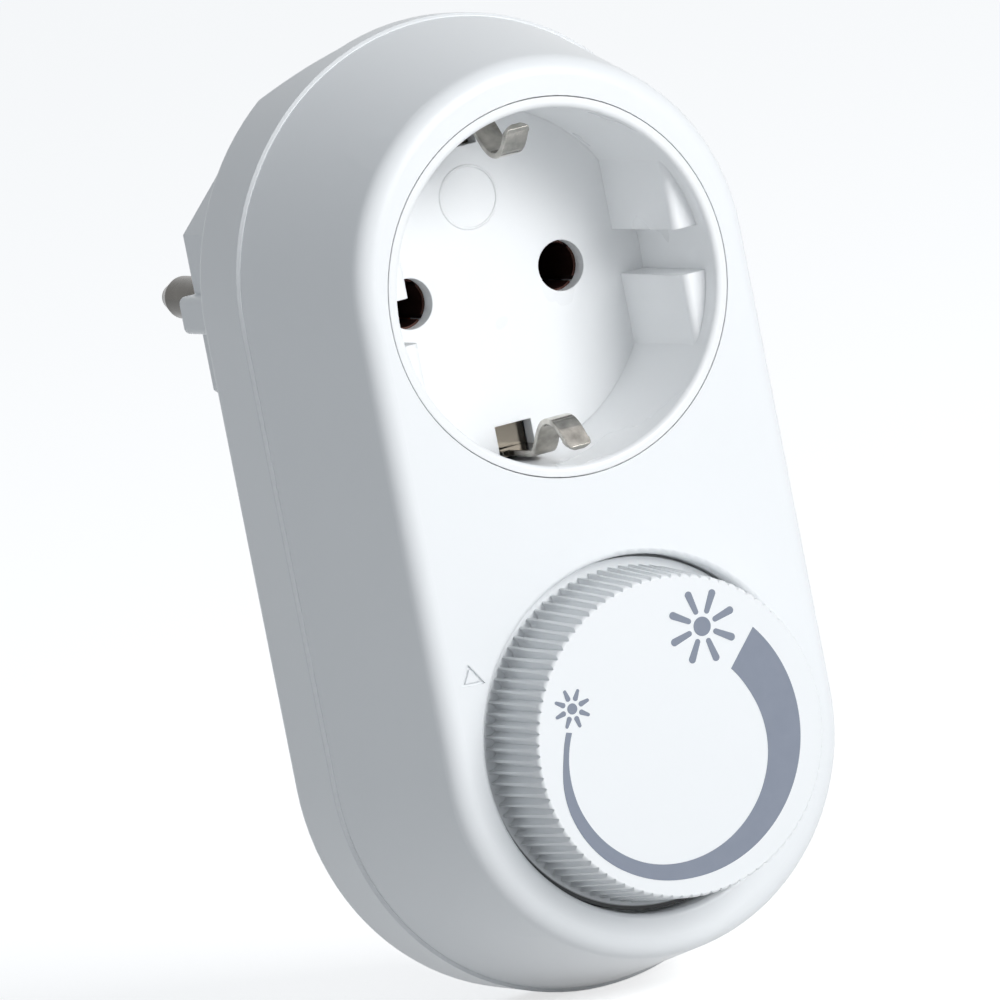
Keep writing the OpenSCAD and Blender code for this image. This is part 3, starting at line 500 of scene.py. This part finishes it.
def beadRing(name, spec):
    bm = bmesh.new()
    half = spec["width"] / 2
    beside, rise = half * spec["shoulder"], spec["height"] * spec["shoulderRise"]
    profile = [(-half, spec["sunk"]), (-beside, -rise), (0, -spec["height"]), (beside, -rise),
        (half, spec["sunk"])]
    verts = [bm.verts.new((spec["radius"] + across, up, 0)) for across, up in profile]
    edges = [bm.edges.new((verts[k], verts[(k + 1) % len(verts)])) for k in range(len(verts))]
    bmesh.ops.spin(bm, geom=verts + edges, cent=(0, 0, 0), axis=(0, 1, 0), angle=math.tau,
        steps=spec["steps"], use_merge=True)
    bmesh.ops.remove_doubles(bm, verts=bm.verts, dist=spec["merge"])
    bmesh.ops.recalc_face_normals(bm, faces=bm.faces)
    settleOrder(bm)
    place = Matrix.Translation((spec["x"] * mm, cupLevel["floor"] * mm, spec["z"] * mm))
    bmesh.ops.transform(bm, verts=bm.verts, matrix=place @ Matrix.Scale(mm, 4))
    smoothFaces(bm, spec["smooth"])
    makePiece(name, bm, "insertWhite", "housing")


beadRing("cup_floor_ring", floorRing)
print("cup ring made")

# Camera, with turn, rise and roll in degrees
cameraSet = {"turn": -26.43, "rise": 7.10, "roll": -11.14, "reach": 2163.63 * mm,
    "aim": (-11.92 * mm, -56.0 * mm, -20.94 * mm), "lens": 720.0, "sensor": 36.0, "farClip": 50}


def outward(turn, rise):
    # direction away from the front, turned to the right and raised
    return Vector((math.sin(turn) * math.cos(rise), -math.cos(turn) * math.cos(rise), math.sin(rise)))


def placeCamera(spec):
    turn, rise, roll = (math.radians(spec[key]) for key in ("turn", "rise", "roll"))
    back = outward(turn, rise)
    level = Vector((math.cos(turn), math.sin(turn), 0))
    upright = back.cross(level)
    across = math.cos(roll) * level + math.sin(roll) * upright
    above = math.cos(roll) * upright - math.sin(roll) * level
    data = bpy.data.cameras.new("photo_camera")
    data.lens = spec["lens"]
    data.sensor_width = spec["sensor"]
    data.clip_end = spec["farClip"]
    eye = bpy.data.objects.new("photo_camera", data)
    bpy.context.scene.collection.objects.link(eye)
    place = Matrix((across, above, back)).transposed().to_4x4()
    place.translation = Vector(spec["aim"]) + back * spec["reach"]
    eye.matrix_world = place
    bpy.context.scene.camera = eye


placeCamera(cameraSet)
print("camera placed")

# Pale floor and light that grows towards the zenith
floorSet = {"reach": 4.0, "colour": (0.85, 0.85, 0.85), "glow": (0.64, 0.64, 0.64)}
skySet = {"low": (0.085, 0.105, 0.125), "high": (0.38, 0.40, 0.42), "rise": (0.15, 0.95)}

# Soft lamps, in watts, metres and degrees
lamps = {
    "key_lamp": {"power": 9.6, "size": 0.6, "reach": 1.2, "turn": 20.0, "rise": 20.0},
    "fill_lamp": {"power": 1.12, "size": 0.8, "reach": 1.2, "turn": -40.0, "rise": 22.0},
}


def seenRays(f):
    # 1 for rays that show the background to the eye, in a mirror or through glass
    path = {key: f.node("ShaderNodeLightPath", out=key) for key in ("Is Camera Ray", "Is Glossy Ray",
        "Is Transmission Ray")}
    return path["Is Camera Ray"].atLeast(path["Is Glossy Ray"]).atLeast(path["Is Transmission Ray"])


def lightSky(spec):
    world = bpy.data.worlds.new("studio")
    world.use_nodes = True
    bpy.context.scene.world = world
    f = Finish(world.node_tree)
    facing = f.node("ShaderNodeTexCoord", out="Generated")
    upward = f.node("ShaderNodeSeparateXYZ", {}, {"Vector": facing}, out="Z")
    ambient = f.mixColour(f.ramp(upward, *spec["rise"]), shade(spec["low"]), shade(spec["high"]))
    colour = f.mixColour(seenRays(f), ambient, (1, 1, 1, 1))
    back = f.node("ShaderNodeBackground", {}, {"Color": colour, "Strength": 1.0})
    f.node("ShaderNodeOutputWorld", {}, {"Surface": back})


def layFloor(spec):
    material, f = newFinish("studio_floor")
    matt = f.node("ShaderNodeBsdfDiffuse", {}, {"Color": shade(spec["colour"])})
    level = f.mixColour(seenRays(f), (0, 0, 0, 1), shade(spec["glow"]))
    glow = f.node("ShaderNodeEmission", {}, {"Color": level, "Strength": 1.0})
    both = f.node("ShaderNodeAddShader", {}, {0: matt, 1: glow})
    f.node("ShaderNodeOutputMaterial", {}, {"Surface": both})
    bm = bmesh.new()
    low = cadBox[0][2]
    bmesh.ops.create_grid(bm, x_segments=1, y_segments=1, size=spec["reach"],
        matrix=Matrix.Translation((0, 0, low)))
    mesh = bpy.data.meshes.new("studio_floor")
    bm.to_mesh(mesh)
    bm.free()
    mesh.materials.append(material)
    floor = bpy.data.objects.new("studio_floor", mesh)
    bpy.context.scene.collection.objects.link(floor)


def hangLamp(name, spec):
    away = outward(math.radians(spec["turn"]), math.radians(spec["rise"]))
    data = bpy.data.lights.new(name, "AREA")
    data.energy = spec["power"]
    data.size = spec["size"]
    lamp = bpy.data.objects.new(name, data)
    bpy.context.scene.collection.objects.link(lamp)
    middle = (Vector(cadBox[0]) + Vector(cadBox[1])) / 2
    facing = away.to_track_quat("Z", "Y").to_matrix().to_4x4()
    lamp.matrix_world = Matrix.Translation(middle + away * spec["reach"]) @ facing


lightSky(skySet)
layFloor(floorSet)
for name, spec in lamps.items():
    hangLamp(name, spec)
bpy.context.scene.view_settings.view_transform = "Standard"
print("studio lit")
